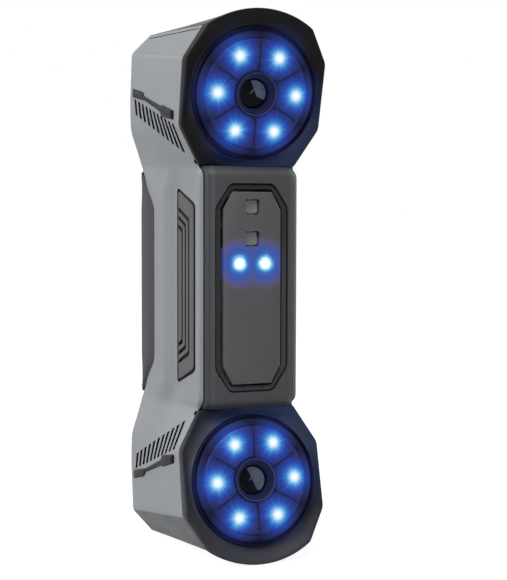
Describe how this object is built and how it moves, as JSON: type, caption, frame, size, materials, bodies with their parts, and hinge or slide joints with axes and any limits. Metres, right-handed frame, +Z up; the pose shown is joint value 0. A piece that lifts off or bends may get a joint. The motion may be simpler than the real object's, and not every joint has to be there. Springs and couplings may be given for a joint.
{
  "type": "hand-held 3-D scanner",
  "caption": "Hand-held scanner: two toed-in camera heads with lit rings and hoods, joined by a gripped waist with a laser window; sprung keys and fans.",
  "frame": {"origin": "middle of the bounding box's bottom face, under the lower head, with the scanner standing on its lower end", "axes": "+Z up along the body from the lower head to the upper head, +Y from the lenses to the keys, +X across the body"},
  "size_m": [0.0834, 0.1038, 0.298],
  "materials": {
    "grey_shell": "satin grey moulding",
    "dark_shell": "satin dark grey moulding",
    "hood_black": "satin black moulding",
    "grip_rubber": "matt",
    "pad_rubber": "matt, grooved",
    "panel_filter": "smoked filter",
    "pane_glass": "tinted pane",
    "lamp_blue": "lit blue lamp",
    "diffuser_blue": "dark lens over lit blue lamps",
    "barrel_black": "black anodised",
    "lens_glass": "coated lens",
    "camera_metal": "dark anodised",
    "frame_metal": "milled",
    "board_green": "circuit board",
    "sink_metal": "extruded",
    "fan_black": "moulded",
    "key_rubber": "matt",
    "light_bar": "milky",
    "socket_metal": "turned and plated",
    "insert_plastic": "moulded"
  },
  "bodies": {
    "scanner_body": {"left_side_shell": "grey_shell", "right_side_shell": "grey_shell", "upper_left_vent_bar": "dark_shell", "lower_left_vent_bar": "dark_shell", "upper_right_vent_bar": "dark_shell", "lower_right_vent_bar": "dark_shell", "left_grip_pad": "pad_rubber", "right_grip_pad": "pad_rubber", "rear_spine_cover": "dark_shell", "rear_grip": "grip_rubber", "front_centre_cover": "dark_shell", "window_bezel": "hood_black", "laser_window_panel": "panel_filter", "upper_projector_window": "pane_glass", "lower_projector_window": "pane_glass", "upper_line_projector": "camera_metal", "lower_line_projector": "camera_metal", "left_marker_lamp": "lamp_blue", "right_marker_lamp": "lamp_blue", "upper_lens_hood": "hood_black", "lower_lens_hood": "hood_black", "upper_ring_bezel": "hood_black", "lower_ring_bezel": "hood_black", "upper_light_diffuser": "diffuser_blue", "lower_light_diffuser": "diffuser_blue", "upper_lens_barrel": "barrel_black", "lower_lens_barrel": "barrel_black", "upper_front_lens": "lens_glass", "lower_front_lens": "lens_glass", "upper_led_board": "board_green", "lower_led_board": "board_green", "upper_camera_body": "camera_metal", "lower_camera_body": "camera_metal", "optical_frame": "frame_metal", "main_board": "board_green", "processor_heat_sink": "sink_metal", "upper_fan_frame": "fan_black", "lower_fan_frame": "fan_black", "key_board": "board_green", "status_light_bar": "light_bar", "cable_socket_shell": "socket_metal", "socket_insert": "insert_plastic"},
    "upper_fan": {"upper_fan_rotor": "fan_black"},
    "lower_fan": {"lower_fan_rotor": "fan_black"},
    "plus_button": {"plus_key": "key_rubber"},
    "scan_button": {"scan_key": "key_rubber"},
    "minus_button": {"minus_key": "key_rubber"},
    "mode_button": {"mode_key": "key_rubber"}
  },
  "joints": [
    {"name": "upper_fan_spin", "type": "hinge", "parent": "scanner_body", "child": "upper_fan", "pos_m": [0, -0.04226, 0.2538], "axis": [0, -0.9848, -0.1736], "continuous": true},
    {"name": "lower_fan_spin", "type": "hinge", "parent": "scanner_body", "child": "lower_fan", "pos_m": [0, -0.04226, 0.0442], "axis": [0, -0.9848, 0.1736], "continuous": true},
    {"name": "plus_press", "type": "slide", "parent": "scanner_body", "child": "plus_button", "axis": [0, -1, 0], "range_m": [0, 0.0007], "stiffness_N_per_m": 400},
    {"name": "scan_press", "type": "slide", "parent": "scanner_body", "child": "scan_button", "axis": [0, -1, 0], "range_m": [0, 0.0007], "stiffness_N_per_m": 400},
    {"name": "minus_press", "type": "slide", "parent": "scanner_body", "child": "minus_button", "axis": [0, -1, 0], "range_m": [0, 0.0007], "stiffness_N_per_m": 400},
    {"name": "mode_press", "type": "slide", "parent": "scanner_body", "child": "mode_button", "axis": [0, -1, 0], "range_m": [0, 0.0007], "stiffness_N_per_m": 400}
  ]
}
